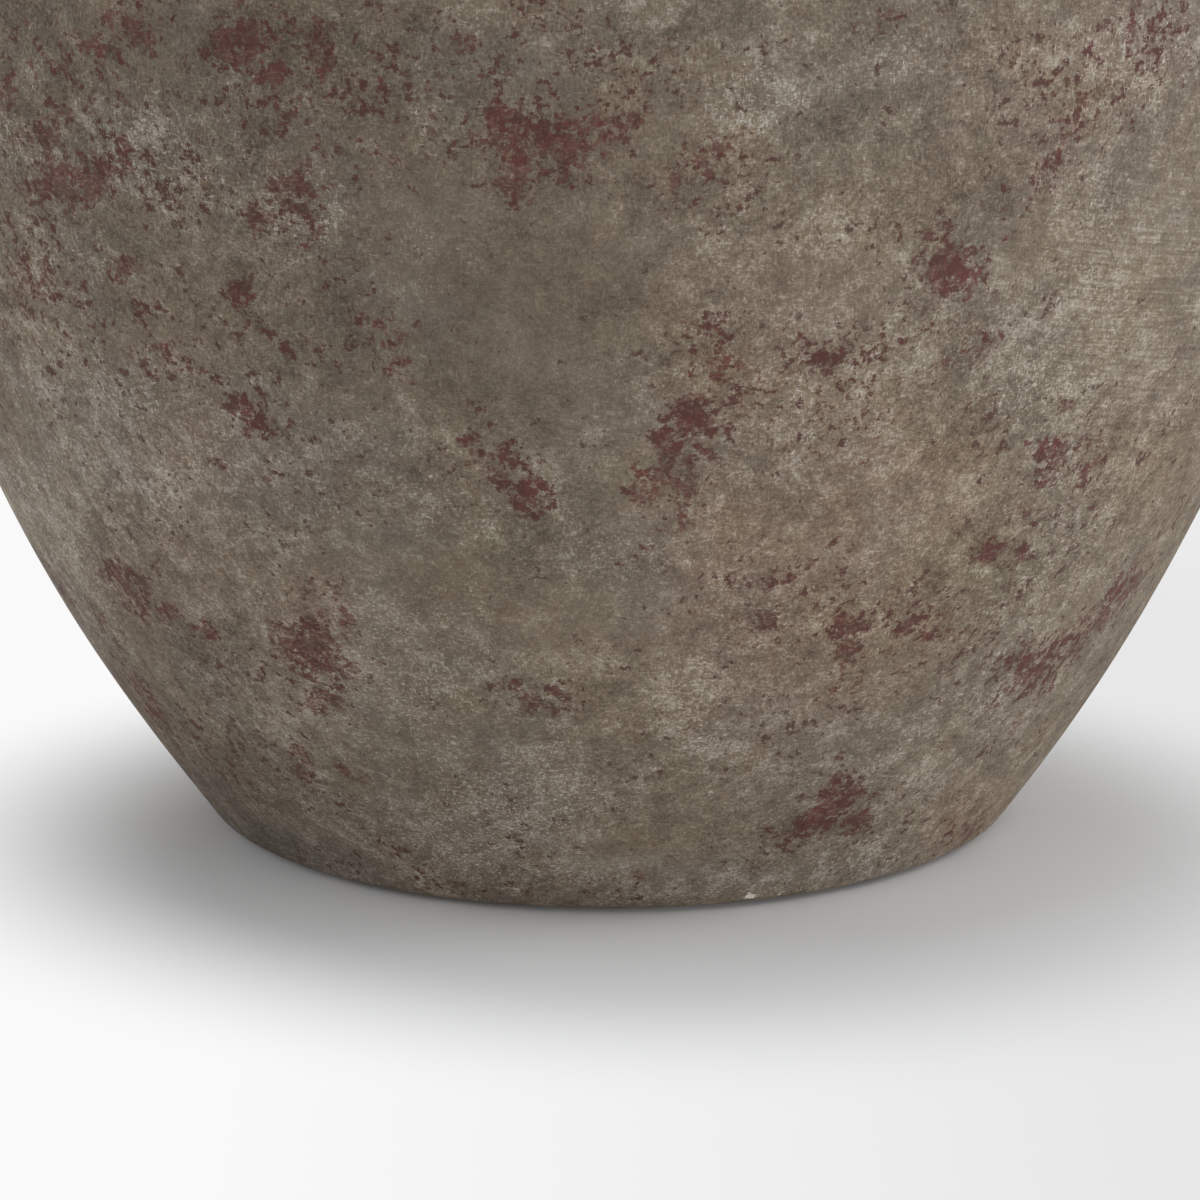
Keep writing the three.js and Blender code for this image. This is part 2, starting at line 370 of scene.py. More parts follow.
# Places on the front, read off the photograph: centre x, centre y, width and height in its
# pixels, the width's tilt in degrees (clockwise), and how solid the patch is. Oxide red comes through
# in these, and its broad weak ones at the end swarm with red flecks.
OXIDE_PATCHES_PX = [
    (128, 22, 70, 38, -15, 0.8), (150, 40, 40, 26, 40, 0.8), (100, 50, 50, 30, 30, 0.72),
    (60, 60, 60, 40, 0, 0.5), (18, 20, 40, 50, 0, 0.42), (8, 96, 26, 34, 0, 0.7),
    (240, 38, 56, 46, 0, 1), (285, 28, 28, 24, 0, 0.7), (272, 72, 36, 26, 0, 0.75),
    (318, 50, 30, 56, -10, 0.95), (300, 110, 60, 60, 0, 0.55), (250, 5, 90, 22, 0, 0.6),
    (463, 42, 30, 24, 0, 0.85), (505, 54, 34, 40, 0, 0.58), (540, 10, 60, 30, 0, 0.5),
    (512, 128, 54, 50, 0, 1), (548, 148, 76, 50, 0, 0.9), (515, 182, 34, 44, -20, 0.8),
    (605, 122, 70, 50, 0, 0.66), (640, 110, 60, 40, 0, 0.5), (570, 172, 60, 26, 0, 0.66),
    (450, 140, 46, 22, -20, 0.6), (475, 75, 30, 40, 0, 0.55), (690, 165, 60, 50, 0, 0.6),
    (720, 148, 40, 36, 0, 0.66), (677, 195, 40, 34, 0, 0.5), (565, 92, 80, 26, 0, 0.4),
    (65, 118, 24, 24, 0, 0.8), (44, 140, 24, 50, -20, 0.9), (124, 152, 16, 30, 0, 1),
    (72, 182, 76, 44, 0, 1), (100, 165, 60, 26, 20, 0.7), (60, 215, 60, 24, 0, 0.45),
    (296, 190, 46, 48, 30, 1), (262, 218, 30, 24, 0, 0.8), (305, 235, 26, 30, 0, 0.6),
    (330, 225, 40, 30, 0, 0.4), (345, 100, 40, 26, 0, 0.55), (378, 96, 20, 30, 0, 0.7),
    (365, 145, 40, 20, 0, 0.6), (318, 153, 24, 20, 0, 0.7), (425, 160, 40, 30, 0, 0.4),
    (239, 293, 26, 34, 0, 1), (124, 267, 28, 22, 0, 0.95), (145, 314, 30, 30, 0, 0.65),
    (30, 270, 70, 40, 30, 0.6), (20, 300, 60, 40, 0, 0.55), (270, 330, 60, 50, 0, 0.42),
    (160, 362, 70, 40, 0, 0.62), (203, 375, 30, 20, 0, 0.7), (241, 406, 26, 26, 0, 0.85),
    (256, 425, 24, 26, 0, 0.8), (375, 333, 60, 40, 0, 0.62), (405, 367, 44, 30, 0, 0.6),
    (485, 450, 50, 60, 0, 0.64), (505, 470, 50, 50, 0, 0.6), (532, 498, 40, 38, 0, 0.88),
    (222, 467, 20, 14, 0, 0.6), (270, 480, 26, 20, 0, 0.55), (300, 420, 40, 30, 0, 0.4),
    (120, 578, 40, 26, 35, 0.82), (140, 600, 60, 26, 35, 0.7), (168, 612, 34, 20, 30, 0.8),
    (205, 629, 34, 20, 25, 0.72), (306, 585, 22, 22, 0, 0.72), (338, 586, 12, 36, 0, 0.7),
    (345, 618, 30, 30, 0, 0.7), (308, 642, 52, 46, 0, 1), (328, 670, 60, 40, 0, 0.75),
    (322, 700, 44, 28, 0, 0.85), (300, 680, 30, 40, 0, 0.6), (302, 761, 16, 34, -20, 0.8),
    (340, 768, 16, 14, 0, 0.8), (362, 776, 22, 14, 0, 0.7), (348, 799, 16, 12, 0, 0.6),
    (230, 768, 60, 26, 30, 0.4), (149, 703, 74, 16, 56, 0.8), (200, 740, 60, 18, 45, 0.45),
    (155, 578, 18, 36, -15, 0.66), (60, 580, 44, 10, 58, 0.62), (100, 617, 50, 14, 50, 0.55),
    (242, 662, 50, 40, 0, 0.34), (398, 850, 36, 18, 0, 0.5), (428, 866, 36, 20, 0, 0.55),
    (510, 690, 34, 24, 0, 0.8), (540, 698, 66, 34, 0, 0.78), (565, 712, 30, 20, 0, 0.6),
    (440, 885, 70, 16, 0, 0.5), (500, 886, 60, 16, 0, 0.55), (600, 880, 50, 16, 0, 0.4),
    (632, 876, 24, 14, 0, 0.6), (735, 872, 60, 16, -10, 0.4),
    (719, 330, 36, 34, 0, 0.78), (722, 365, 56, 44, 0, 0.74), (700, 325, 40, 24, 0, 0.6),
    (722, 400, 40, 34, 0, 0.6), (690, 415, 44, 36, -20, 0.93), (668, 440, 34, 30, 0, 0.9),
    (700, 440, 60, 50, 0, 0.68), (672, 478, 60, 50, 20, 0.8), (645, 492, 40, 30, 20, 0.8),
    (682, 520, 34, 40, 0, 0.66), (700, 470, 60, 40, 0, 0.5),
    (800, 350, 40, 26, 0, 0.6), (825, 360, 34, 20, 0, 0.9), (880, 345, 60, 44, 0, 0.45),
    (850, 392, 24, 24, 0, 0.6), (860, 420, 40, 26, 0, 0.5), (790, 400, 80, 60, 0, 0.28),
    (955, 272, 52, 46, 0, 0.96), (940, 228, 24, 20, 0, 0.9), (925, 250, 40, 60, 0, 0.45),
    (980, 345, 44, 30, 0, 0.6), (940, 320, 50, 60, 0, 0.5), (945, 360, 40, 24, 0, 0.45),
    (1078, 122, 24, 34, 0, 0.85), (1060, 150, 60, 20, -55, 0.7), (1100, 95, 30, 20, 0, 0.7),
    (1150, 30, 90, 70, 0, 0.55), (1100, 40, 50, 40, 0, 0.5), (1165, 60, 60, 50, 0, 0.48),
    (1020, 210, 60, 60, 0, 0.35), (1040, 180, 30, 40, 0, 0.45), (880, 15, 50, 30, 0, 0.6),
    (1060, 405, 24, 26, 0, 0.6), (1052, 450, 40, 34, 0, 0.88), (1080, 472, 50, 20, -30, 0.8),
    (1045, 480, 40, 30, -30, 0.6), (1025, 515, 30, 20, 0, 0.55), (1090, 440, 30, 20, 0, 0.5),
    (990, 552, 24, 24, -45, 0.9), (1020, 552, 20, 14, 0, 0.8), (1005, 580, 40, 30, 0, 0.4),
    (845, 565, 50, 24, 0, 0.6), (799, 562, 40, 16, 0, 0.65), (776, 582, 36, 18, 0, 0.75),
    (738, 582, 26, 12, 0, 0.7), (820, 590, 50, 24, 0, 0.45), (840, 540, 40, 16, 0, 0.5),
    (766, 620, 24, 22, 0, 1), (848, 628, 32, 22, 0, 1), (847, 650, 26, 40, 0, 0.85),
    (845, 690, 44, 44, 0, 0.62), (883, 615, 24, 24, 0, 0.74), (915, 622, 64, 36, 0, 0.64),
    (930, 605, 36, 18, 0, 0.7), (800, 650, 30, 20, 0, 0.5), (940, 640, 50, 30, 0, 0.55),
    (1030, 672, 44, 50, 0, 0.8), (1060, 650, 60, 26, -40, 0.72), (1090, 625, 60, 24, -40, 0.7),
    (1120, 590, 60, 22, -50, 0.75), (1000, 700, 50, 20, -35, 0.6), (1010, 740, 60, 24, -35, 0.45),
    (843, 793, 46, 38, 0, 0.94), (825, 813, 44, 28, -30, 0.92), (798, 834, 34, 16, -25, 0.95),
    (855, 820, 34, 34, 0, 0.75), (835, 755, 26, 14, -40, 0.7), (775, 830, 30, 12, -20, 0.5),
    (960, 830, 60, 20, -25, 0.55), (880, 790, 40, 26, 0, 0.45), (985, 800, 40, 24, 0, 0.35),
    (680, 720, 40, 12, 0, 0.4), (650, 560, 50, 30, 0, 0.35), (580, 640, 50, 20, 0, 0.3),
    (110, 110, 230, 200, 0, 0.3), (330, 110, 240, 200, 0, 0.32), (60, 290, 190, 150, 0, 0.3),
    (560, 100, 250, 110, 0, 0.3), (320, 330, 180, 140, 0, 0.28), (700, 170, 140, 90, 0, 0.28),
    (1110, 70, 160, 120, 0, 0.3), (860, 380, 220, 110, 0, 0.26), (310, 640, 120, 160, 0, 0.26),
    (900, 640, 220, 90, 0, 0.28), (1050, 480, 130, 110, 0, 0.26), (790, 590, 170, 90, 0, 0.26),
]
# Pale lime, dry-brushed and sponged on, together with painted light: these also lighten the lower wall above
# the foot and the upper right
PALE_LIME_AND_PAINTED_LIGHT_PATCHES_PX = [
    (510, 862, 190, 60, 0, 1), (960, 400, 50, 40, 0, 0.5), (380, 700, 170, 90, 0, 0.6),
    (20, 140, 80, 80, 0, 0.8), (60, 370, 160, 60, 0, 0.6), (20, 500, 70, 80, 0, 1),
    (75, 570, 50, 140, -30, 1), (310, 200, 90, 90, 0, 0.9), (440, 140, 80, 60, 0, 0.7),
    (420, 260, 120, 70, 0, 0.6), (490, 820, 200, 90, 0, 1), (480, 700, 200, 60, 0, 0.6),
    (1050, 15, 60, 50, 0, 0.7), (1100, 260, 90, 100, 0, 0.8), (1040, 385, 80, 70, 0, 0.9),
    (990, 700, 80, 60, 0, 0.7), (860, 860, 80, 40, -15, 0.8), (700, 893, 200, 10, -3, 0.9),
    (860, 868, 120, 10, -17, 0.6),
    (1130, 40, 160, 130, 0, 0.7), (320, 200, 90, 60, 0, 0.65), (1090, 200, 100, 100, 0, 0.75),
    (50, 285, 130, 120, 0, 0.5), (150, 385, 90, 80, 0, 0.65), (630, 385, 130, 80, 0, 0.5),
    (805, 390, 90, 70, 0, 0.85), (385, 440, 90, 80, 0, 0.55), (1060, 500, 130, 90, 0, 0.6),
    (625, 560, 110, 60, 0, 0.6), (1065, 565, 120, 80, -40, 0.65), (395, 650, 150, 130, 0, 0.9),
    (430, 755, 170, 80, 0, 0.65), (510, 815, 190, 130, 0, 0.95), (330, 810, 130, 60, 20, 0.6),
    (205, 195, 110, 80, 0, 0.45), (150, 460, 180, 110, 0, 0.65), (755, 100, 90, 60, -10, 0.95),
    (860, 70, 120, 60, 0, 0.6), (1150, 280, 130, 220, 0, 0.6), (560, 440, 120, 60, 0, 0.45),
    (705, 730, 110, 110, 0, 0.7), (60, 90, 120, 80, 0, 0.45), (480, 15, 120, 40, 0, 0.55),
    (410, 170, 130, 120, 0, 0.45), (450, 520, 110, 60, 0, 0.6), (360, 480, 200, 120, 0, 0.4),
    (560, 200, 100, 60, 0, 0.3), (800, 300, 160, 160, 0, 0.45), (880, 480, 200, 160, 0, 0.4),
    (800, 580, 200, 120, 0, 0.45), (230, 690, 90, 60, 0, 0.4), (480, 790, 160, 100, 0, 0.55),
    (530, 640, 160, 60, 0, 0.45), (900, 760, 120, 60, -30, 0.55), (640, 650, 120, 60, 0, 0.45),
    (1010, 620, 100, 80, -30, 0.45), (700, 880, 160, 24, 0, 0.5), (870, 850, 100, 24, -15, 0.6),
    (930, 130, 160, 90, 0, 0.35), (1050, 60, 90, 90, 0, 0.35), (780, 760, 80, 40, 0, 0.5),
    (515, 805, 130, 80, 0, 1.4), (810, 385, 70, 50, 0, 1), (390, 625, 90, 80, 0, 1),
    (430, 715, 110, 80, 0, 0.9), (690, 690, 70, 50, 0, 0.9), (150, 388, 90, 70, 0, 0.85),
    (1100, 212, 80, 60, 0, 0.9), (88, 635, 50, 60, 0, 0.7), (865, 625, 60, 40, 0, 0.6),
    (150, 150, 100, 80, 0, 0.9), (375, 620, 60, 80, 0, 1.2), (420, 700, 90, 70, 0, 1.2),
]
# Where the brush left long level marks
BRUSHED_PATCHES_PX = [
    (1130, 310, 180, 260, 0, 1), (1060, 250, 120, 120, 0, 0.7), (1100, 150, 150, 100, 0, 0.5),
    (540, 425, 140, 40, 0, 0.6), (990, 560, 160, 80, -20, 0.5), (900, 770, 160, 80, -10, 0.4),
]
# Stains: warm brown, yellowish, and bluish grey
RUSSET_PATCHES_PX = [
    (820, 590, 190, 160, 0, 0.8), (770, 400, 140, 160, 0, 0.5), (880, 490, 190, 140, 0, 0.62),
    (1000, 120, 150, 150, 0, 0.4), (1150, 450, 90, 100, 0, 0.3), (600, 130, 200, 110, 0, 0.15),
    (750, 590, 130, 200, 0, 0.85), (1140, 30, 110, 90, 0, 0.4), (310, 620, 80, 70, 0, 0.5),
    (690, 680, 180, 90, 0, 0.45), (800, 280, 130, 80, 0, 0.5), (690, 290, 80, 70, 0, 0.3),
    (200, 445, 80, 70, 0, 0.6), (180, 570, 110, 110, 30, 0.35), (480, 605, 120, 60, 0, 0.3),
    (965, 820, 80, 50, -40, 0.6),
]
OCHRE_PATCHES_PX = [
    (510, 572, 180, 80, 0, 1), (1042, 388, 60, 60, 0, 1), (510, 690, 150, 60, 0, 0.8),
    (635, 690, 110, 60, 0, 0.8), (995, 562, 90, 50, 0, 1), (440, 625, 70, 50, 0, 0.8),
    (600, 480, 90, 60, 0, 0.35), (930, 265, 60, 50, 0, 0.4), (860, 800, 80, 60, 0, 0.4),
    (905, 575, 90, 50, 0, 0.7), (850, 620, 100, 70, 0, 0.6), (400, 765, 130, 70, 0, 0.8),
]
ASH_PATCHES_PX = [
    (740, 872, 220, 30, 0, 0.85), (300, 850, 100, 30, 20, 0.8), (380, 490, 90, 160, 0, 0.6),
    (285, 430, 140, 160, 0, 0.65), (215, 640, 110, 110, 0, 0.45), (490, 80, 120, 80, 0, 0.75),
    (720, 15, 170, 60, 0, 0.45), (900, 110, 180, 100, 0, 0.65), (130, 140, 110, 80, 0, 0.55),
    (200, 30, 120, 100, 0, 0.55), (90, 390, 100, 70, 0, 0.6), (380, 320, 100, 60, 0, 0.5),
    (960, 390, 80, 50, 0, 0.25), (1165, 22, 80, 60, 0, 0.8), (780, 445, 130, 60, 0, 0.5),
    (680, 120, 70, 60, 0, 0.5), (1000, 205, 80, 60, 0, 0.5), (1080, 35, 70, 60, 0, 0.4),
    (35, 35, 80, 80, 0, 0.45), (490, 195, 160, 60, 0, 0.35), (1160, 200, 70, 70, 0, 0.4),
]
# The dark wash, left in broad clouds, together with painted shade: these also darken the upper left and the
# foot's left edge next to the floor
DARK_WASH_AND_PAINTED_SHADE_PATCHES_PX = [
    (85, 60, 110, 100, 0, 1), (560, 230, 100, 110, 0, 0.95), (690, 210, 80, 70, 0, 0.8),
    (860, 20, 80, 60, 0, 0.7), (740, 85, 60, 50, 0, 0.7), (1048, 262, 46, 46, 0, 0.5),
    (30, 40, 240, 200, 0, 1), (200, 90, 240, 160, 0, 0.8), (420, 220, 300, 300, 0, 0.4),
    (560, 300, 260, 220, 0, 0.55), (320, 330, 220, 120, 0, 0.6), (90, 40, 120, 110, 0, 1),
    (240, 50, 240, 120, 0, 0.9), (950, 190, 130, 90, 0, 0.75), (620, 200, 240, 90, 0, 0.6),
    (520, 275, 150, 120, 0, 0.9), (255, 255, 90, 70, 0, 0.6), (440, 510, 90, 70, 0, 0.6),
    (1165, 440, 80, 80, 0, 0.6), (200, 675, 80, 60, 50, 0.9), (740, 20, 120, 60, 0, 0.6),
    (590, 290, 130, 140, 0, 0.75), (320, 320, 180, 100, 0, 0.7), (880, 110, 90, 60, 0, 0.6),
    (970, 415, 120, 70, 0, 0.65), (235, 790, 110, 70, 30, 0.8), (210, 60, 120, 90, 0, 0.55),
    (420, 60, 130, 100, 0, 0.5), (450, 290, 200, 140, 0, 0.55), (700, 240, 100, 80, 0, 0.5),
    (600, 560, 180, 60, 0, 0.4), (130, 250, 100, 100, 0, 0.3), (700, 800, 130, 60, 0, 0.6),
    (800, 470, 100, 80, 0, 0.45), (1000, 560, 120, 80, -30, 0.4), (400, 600, 120, 100, 0, 0.4),
    # In this row, the strong patch at (264, 852) is painted shade on the foot's left edge, by the floor
    (430, 720, 120, 60, 0, 0.35), (264, 852, 70, 40, 20, 1.4), (960, 700, 90, 60, -30, 0.45),
    (1100, 520, 90, 80, -40, 0.4), (640, 30, 130, 80, 0, 0.4),
    (1000, 130, 70, 60, 0, 0.4), (150, 620, 100, 60, 45, 0.45), (880, 640, 120, 50, -20, 0.35),
    (1170, 330, 50, 60, 0, 0.5), (590, 150, 120, 80, 0, 0.6),
    (212, 715, 60, 80, 40, 0.6), (330, 748, 50, 50, 0, 0.5),
]
# Where the wash lies smooth, with hardly a fleck, and where the surface is scrubbed to crisp flecks
SMOOTH_PATCHES_PX = [
    (430, 250, 110, 200, 0, 1), (520, 320, 150, 170, 0, 1), (590, 260, 110, 150, 0, 0.8),
    (560, 400, 130, 110, 0, 0.75), (400, 150, 80, 60, 0, 0.8), (310, 175, 50, 60, 0, 0.9),
    (640, 130, 110, 50, 0, 0.6), (470, 30, 50, 40, 0, 0.6), (150, 30, 130, 60, 0, 0.55),
    (540, 80, 60, 40, 0, 0.55), (370, 380, 100, 80, 0, 0.5), (640, 470, 80, 110, 0, 0.6),
    (400, 600, 130, 130, 0, 0.75), (430, 730, 140, 100, 0, 0.6), (560, 630, 110, 70, 0, 0.85),
    (650, 620, 70, 60, 0, 0.8), (630, 860, 120, 40, 0, 0.7), (820, 560, 80, 50, 0, 0.6),
    (500, 690, 90, 60, 0, 0.5), (1060, 240, 90, 70, 0, 0.6), (1160, 250, 70, 120, 0, 0.9),
    (1150, 350, 90, 70, 0, 0.5), (840, 290, 110, 60, 0, 0.5), (150, 350, 70, 40, 0, 0.6),
]
CRISP_PATCHES_PX = [
    (170, 140, 120, 90, 0, 0.8), (255, 140, 60, 70, 0, 0.9), (90, 240, 90, 60, 0, 0.8),
    (366, 84, 70, 60, 0, 0.6), (440, 20, 60, 30, 0, 0.6), (210, 30, 50, 40, 0, 0.6),
    (955, 30, 110, 70, 0, 1), (660, 20, 90, 50, 0, 0.5), (820, 140, 60, 50, 0, 0.6),
    (900, 190, 110, 50, 0, 0.6), (955, 375, 130, 140, 0, 0.8), (760, 460, 60, 50, 0, 0.8),
    (1010, 560, 160, 80, -20, 0.6), (220, 640, 60, 80, 40, 0.8), (240, 700, 80, 50, 40, 0.6),
    (760, 620, 120, 70, 0, 0.5), (800, 850, 140, 50, 0, 0.6), (210, 800, 70, 50, 30, 0.5),
    (1130, 490, 70, 110, -40, 0.6), (140, 530, 70, 60, 0, 0.5), (590, 680, 60, 40, 0, 0.5),
]
# Chips along the foot's edge, down to the pale body under the finish
CHIP_PATCHES_PX = [
    (750, 897, 9, 4, -5, 1), (781, 894, 4, 3, -5, 0.7), (802, 890, 5, 3, -8, 0.72),
    (936, 858, 5, 3, -20, 0.7), (372, 888, 5, 3, 10, 0.6),
]
seen = {
    "oxide": OXIDE_PATCHES_PX,
    "pale": PALE_LIME_AND_PAINTED_LIGHT_PATCHES_PX,
    "dark": DARK_WASH_AND_PAINTED_SHADE_PATCHES_PX,
    "brushed": BRUSHED_PATCHES_PX,
    "russet": RUSSET_PATCHES_PX,
    "ash": ASH_PATCHES_PX,
    "ochre": OCHRE_PATCHES_PX,
    "smooth": SMOOTH_PATCHES_PX,
    "crisp": CRISP_PATCHES_PX,
    "chip": CHIP_PATCHES_PX,
}

# The sides that the photograph doesn't show get patches of the same kinds, scattered: how many of
# each, and the smallest and largest size
UNSEEN_PATCHES = {
    "oxide": (600, 0.005, 0.030),
    "pale": (60, 0.035, 0.090),
    "dark": (50, 0.035, 0.080),
    "brushed": (20, 0.040, 0.100),
    "russet": (24, 0.040, 0.120),
    "ash": (24, 0.040, 0.120),
    "ochre": (24, 0.030, 0.090),
    "smooth": (24, 0.040, 0.110),
    "crisp": (24, 0.025, 0.080),
}
SCATTER_HEIGHTS = (0.01, 0.60)
SCATTER_STRENGTH = (0.6, 1.0)
SCATTER_FLATNESS = (0.4, 1.0)
SCATTER_TILT = (-60, 60)
CHAIN_LONGEST = 9
CHAIN_WANDER = 0.8  # how far a chain turns at each patch, in radians
scatter = np.random.default_rng(23)


def scattered(count, smallest, largest):
    """Patches for the unseen sides, in metres: the middle's angle and height, then width, height,
    tilt and strength. They run in chains that wander as a brush does, small ones more often."""
    patches = []
    while len(patches) < count:
        turn = scatter.uniform(0, 2 * math.pi)
        height = scatter.uniform(*SCATTER_HEIGHTS)
        heading = scatter.uniform(0, 2 * math.pi)
        strength = scatter.uniform(*SCATTER_STRENGTH)
        for _ in range(scatter.integers(1, CHAIN_LONGEST + 1)):
            size = smallest * (largest / smallest) ** scatter.uniform(0, 1)
            tall = size * scatter.uniform(*SCATTER_FLATNESS)
            tilt = scatter.uniform(*SCATTER_TILT)
            patches.append((turn, height, size, tall, tilt, strength * scatter.uniform(*SCATTER_STRENGTH)))
            heading += scatter.normal(0, CHAIN_WANDER)
            turn += size * math.cos(heading) / BELLY_RADIUS
            height += size * math.sin(heading)
    return patches


UNSEEN_CHIPS = 16
CHIP_HEIGHT = 0.003
CHIP_WIDTHS = (0.0015, 0.0045)
CHIP_STRENGTH = 0.9

unseen = {kind: scattered(*how_many) for kind, how_many in UNSEEN_PATCHES.items()}
chip_turns = scatter.uniform(0, 2 * math.pi, UNSEEN_CHIPS)
chip_widths = scatter.uniform(*CHIP_WIDTHS, UNSEEN_CHIPS)
unseen["chip"] = [(turn, foot_height + CHIP_HEIGHT, width, width / 2, 0, CHIP_STRENGTH)
                  for turn, width in zip(chip_turns, chip_widths)]

# A patch is at full strength in its middle, and fades out past its edge: distances in half widths
PATCH_CORE = 0.6
PATCH_FADE = 1.9


def patch_field(across, down, patches):
    """How strong the patches are at each point. across and down are arrays of its place."""
    field = np.zeros(len(across))
    for x, y, width, height, tilt, strength in patches:
        cosine = math.cos(math.radians(tilt))
        sine = math.sin(math.radians(tilt))
        along = (across - x) * cosine + (down - y) * sine
        over = (down - y) * cosine - (across - x) * sine
        distance = np.hypot(along / width, over / height) * 2
        inside = np.clip((PATCH_FADE - distance) / (PATCH_FADE - PATCH_CORE), 0, 1)
        field = np.maximum(field, strength * inside)
    return field


def unseen_field(points, patches):
    """The same for patches placed by angle and height."""
    angle = np.arctan2(points[:, 1], points[:, 0])
    radius = np.hypot(points[:, 0], points[:, 1])
    field = np.zeros(len(points))
    for turn, height, *shape_and_strength in patches:
        away = (angle - turn + math.pi) % (2 * math.pi) - math.pi
        one = patch_field(away * radius, points[:, 2] - height, [(0, 0, *shape_and_strength)])
        field = np.maximum(field, one)
    return field


# Where the patches of the front give way to the scattered ones: a little short of the outline, and
# across the photograph's top edge
OUTLINE_BLEND = 8
OUTLINE_SHARE = 0.2
TOP_FADE_PX = 90
TOP_FADE_ENDS_PX = -60


def seen_share(points, down):
    """1 where the photograph shows the wall, 0 where it doesn't, with a soft edge between."""
    to_camera = np.array(camera_place) - points
    to_camera /= np.linalg.norm(to_camera, axis=1)[:, None]
    level = points[:, :2] / np.maximum(np.hypot(points[:, 0], points[:, 1]), 1e-6)[:, None]
    facing = np.einsum("ij,ij->i", level, to_camera[:, :2])
    turned_to_camera = np.clip(facing * OUTLINE_BLEND + OUTLINE_SHARE, 0, 1)
    return turned_to_camera * np.clip((down - TOP_FADE_ENDS_PX) / TOP_FADE_PX, 0, 1)


RUBBED_EDGE = 0.0045


def rubbed_edges(points):
    """1 on the foot's lowest edge and on the crest of the rim, fading out a few millimetres away."""
    above_foot = points[:, 2] - foot_height
    under_crest = rim_crest - points[:, 2]
    return np.clip(1 - np.minimum(above_foot, under_crest) / RUBBED_EDGE, 0, 1)


def paint_patches(piece, points, patina):
    """Stores the kinds of patch and the patina's share at each point of a piece's mesh."""
    across, down = photo_pixels(points)
    share = seen_share(points, down)
    fields = {"patina": patina, "rubbed": rubbed_edges(points)}
    for kind, patches in seen.items():
        front = patch_field(across, down, patches)
        fields[kind] = front * share + unseen_field(points, unseen[kind]) * (1 - share)
    for kind, field in fields.items():
        values = piece.data.attributes.new(kind, "FLOAT", "POINT")
        values.data.foreach_set("value", field.astype(np.float32))


def srgb(red, green, blue):
    """A colour read from the photograph, 0 to 255, as the linear colour that a shader takes."""
    return tuple(((v / 255 + 0.055) / 1.055) ** 2.4 for v in (red, green, blue))


COOL_TAUPE = srgb(114, 103, 91)
OCHRE_TAUPE = srgb(119, 106, 89)
OLIVE_UMBER = srgb(78, 69, 58)
PALE_LIME = srgb(170, 162, 149)
CHALK = srgb(186, 181, 172)
OXIDE_RED = srgb(96, 52, 47)
OXIDE_DARK = srgb(71, 45, 40)
SPECK_BROWN = srgb(74, 53, 47)
SPECK_RED = srgb(78, 46, 42)
BARE_CLAY = srgb(126, 98, 78)
RUBBED_CLAY = srgb(150, 128, 106)
CHIPPED_BODY = srgb(222, 212, 202)

# Stains, which the colour under them is multiplied by
RUSSET_STAIN = (1.08, 0.97, 0.92)
ASH_STAIN = (0.95, 1.00, 1.10)
OCHRE_STAIN = (0.99, 1.00, 0.94)
OLIVE_STAIN = (0.96, 1.01, 0.97)
TINT_MOST = 0.55  # how far the fine russet and olive tint goes

CLOUD_SIZE = 0.090
HUE_SIZE = 0.048
SPECK_SWARM = 0.036
MOTTLE_SIZE = 0.028
WORN_SIZE = 0.012
TINT_SIZE = 0.0065
GRAIN_SIZE = 0.0009
FIBRE_WIDTH = 0.0007
BRUSH_MARK_WIDTH = 0.0012
BRUSH_SLANT = (0, 0, 0.3)  # the brush marks run down to the right
RELIEF_DEPTH = 0.0006


def make_ragged_group():
    """A patch's soft field broken up into flecks with frayed edges, as a mask. Fleck is the size of
    the larger flecks, and Fray is how much a noise of Fine size eats into their edges."""
    tree, given, result = group_with(
        "ragged",
        [("Field", FLOAT), ("Vector", VECTOR), ("Fleck", FLOAT), ("Break Up", FLOAT), ("Fine", FLOAT),
         ("Fray", FLOAT), ("Level", FLOAT), ("Softness", FLOAT)],
        [("Mask", FLOAT)],
    )
    given = given.outputs
    value = given["Field"]
    for size, amount in (("Fleck", "Break Up"), ("Fine", "Fray")):
        scale = maths(tree, "DIVIDE", 1.0, given[size])
        flecks = put(tree, "ShaderNodeTexNoise", Vector=given["Vector"], Scale=scale, Detail=3.0,
                     Roughness=0.65)
        centred = maths(tree, "SUBTRACT", flecks.outputs["Fac"], 0.5)
        value = maths(tree, "MULTIPLY_ADD", centred, given[amount], value)
    full = maths(tree, "ADD", given["Level"], given["Softness"])
    mask = put(tree, "ShaderNodeMapRange", {"interpolation_type": "SMOOTHSTEP"}, Value=value,
               From_Min=given["Level"], From_Max=full)
    tree.links.new(mask.outputs["Result"], result.inputs["Mask"])
    return tree


ragged = make_ragged_group()


def ranged(tree, value, low, high, to_low=0.0, to_high=1.0):
    """A value taken from between low and high to between two others, and held there."""
    node = put(tree, "ShaderNodeMapRange", Value=value, From_Min=low, From_Max=high,
               To_Min=to_low, To_Max=to_high)
    return node.outputs["Result"]


def summed(tree, start, *parts):
    """start plus each part's value times its weight."""
    value = start
    for part, weight in parts:
        value = maths(tree, "MULTIPLY_ADD", part, weight, value)
    return value


def times(tree, one, other):
    return maths(tree, "MULTIPLY", one, other)


